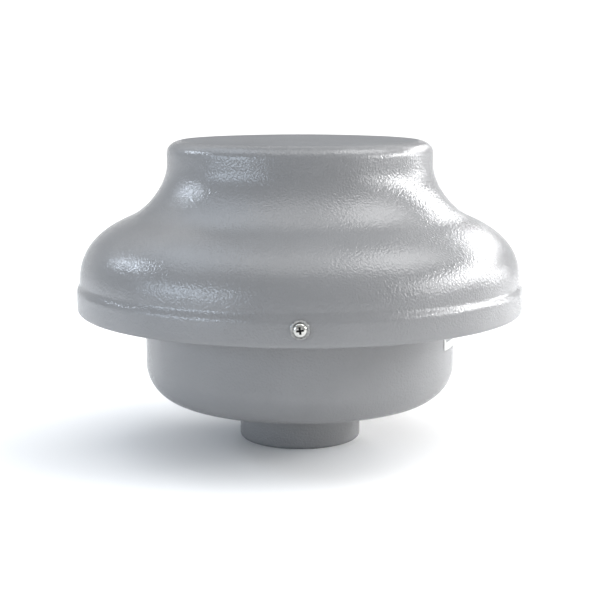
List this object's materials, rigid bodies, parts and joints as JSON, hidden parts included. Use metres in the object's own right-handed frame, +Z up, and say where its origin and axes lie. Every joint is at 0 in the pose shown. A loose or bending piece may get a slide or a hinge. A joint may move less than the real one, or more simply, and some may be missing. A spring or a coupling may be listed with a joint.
{
  "type": "exhaust hood fan",
  "caption": "Mushroom-shaped centrifugal exhaust fan: air enters a round spigot below and leaves downwards around a bowl under a bell-shaped cover.",
  "frame": {"origin": "centre of the spigot's lower end, on the fan's axis", "axes": "+Z up along the fan's axis towards the bell's crown, -Y towards the front cover screw, +X to the right seen from the front"},
  "size_m": [0.358, 0.3611, 0.245],
  "materials": {
    "paint": "glossy textured powder coat",
    "galvanised": "galvanised sheet",
    "zinc": "zinc plated",
    "rivet_aluminium": "satin",
    "cast_aluminium": "as cast",
    "steel": "bright steel",
    "copper": "enamelled winding",
    "white_plastic": "moulded",
    "lead_sheath": "matt sheath",
    "black_plastic": "moulded nylon",
    "label": "printed film, left blank"
  },
  "bodies": {
    "casing": {"bell_cover": "paint", "bowl_pan": "paint", "bowl_wall": "paint", "duct_spigot": "paint", "spigot_flange": "paint", "inlet_cone": "galvanised", "motor_spider": "galvanised", "cover_washer_front": "zinc", "cover_screw_front": "zinc", "cover_nut_front": "zinc", "bowl_screw_front": "zinc", "cover_washer_right": "zinc", "cover_screw_right": "zinc", "cover_nut_right": "zinc", "bowl_screw_right": "zinc", "cover_washer_left": "zinc", "cover_screw_left": "zinc", "cover_nut_left": "zinc", "bowl_screw_left": "zinc", "tie_bolt_back": "zinc", "tie_nut_back": "zinc", "tie_bolt_left": "zinc", "tie_nut_left": "zinc", "tie_bolt_right": "zinc", "tie_nut_right": "zinc", "capacitor_nut": "zinc", "spigot_rivet_back": "rivet_aluminium", "spigot_rivet_left": "rivet_aluminium", "spigot_rivet_right": "rivet_aluminium", "motor_lower_shield": "cast_aluminium", "motor_upper_shield": "cast_aluminium", "stator_core": "steel", "lower_bearing_outer_race": "steel", "upper_bearing_outer_race": "steel", "bearing_wave_washer": "steel", "stator_windings": "copper", "capacitor": "white_plastic", "terminal_block": "white_plastic", "motor_lead": "lead_sheath", "capacitor_lead": "lead_sheath", "gland_body": "black_plastic", "gland_cap": "black_plastic", "gland_locknut": "black_plastic", "rating_label": "label"},
    "rotor": {"shaft": "steel", "rotor_core": "cast_aluminium", "lower_bearing_inner_race": "steel", "upper_bearing_inner_race": "steel", "impeller_hub": "cast_aluminium", "hub_set_screw": "steel", "impeller_backplate": "galvanised", "impeller_shroud": "galvanised", "impeller_blade_1": "galvanised", "impeller_blade_2": "galvanised", "impeller_blade_3": "galvanised", "impeller_blade_4": "galvanised", "impeller_blade_5": "galvanised", "impeller_blade_6": "galvanised", "impeller_blade_7": "galvanised"}
  },
  "joints": [
    {"name": "rotor_spin", "type": "hinge", "parent": "casing", "child": "rotor", "pos_m": [0, 0, 0.1], "axis": [0, 0, 1], "continuous": true}
  ]
}
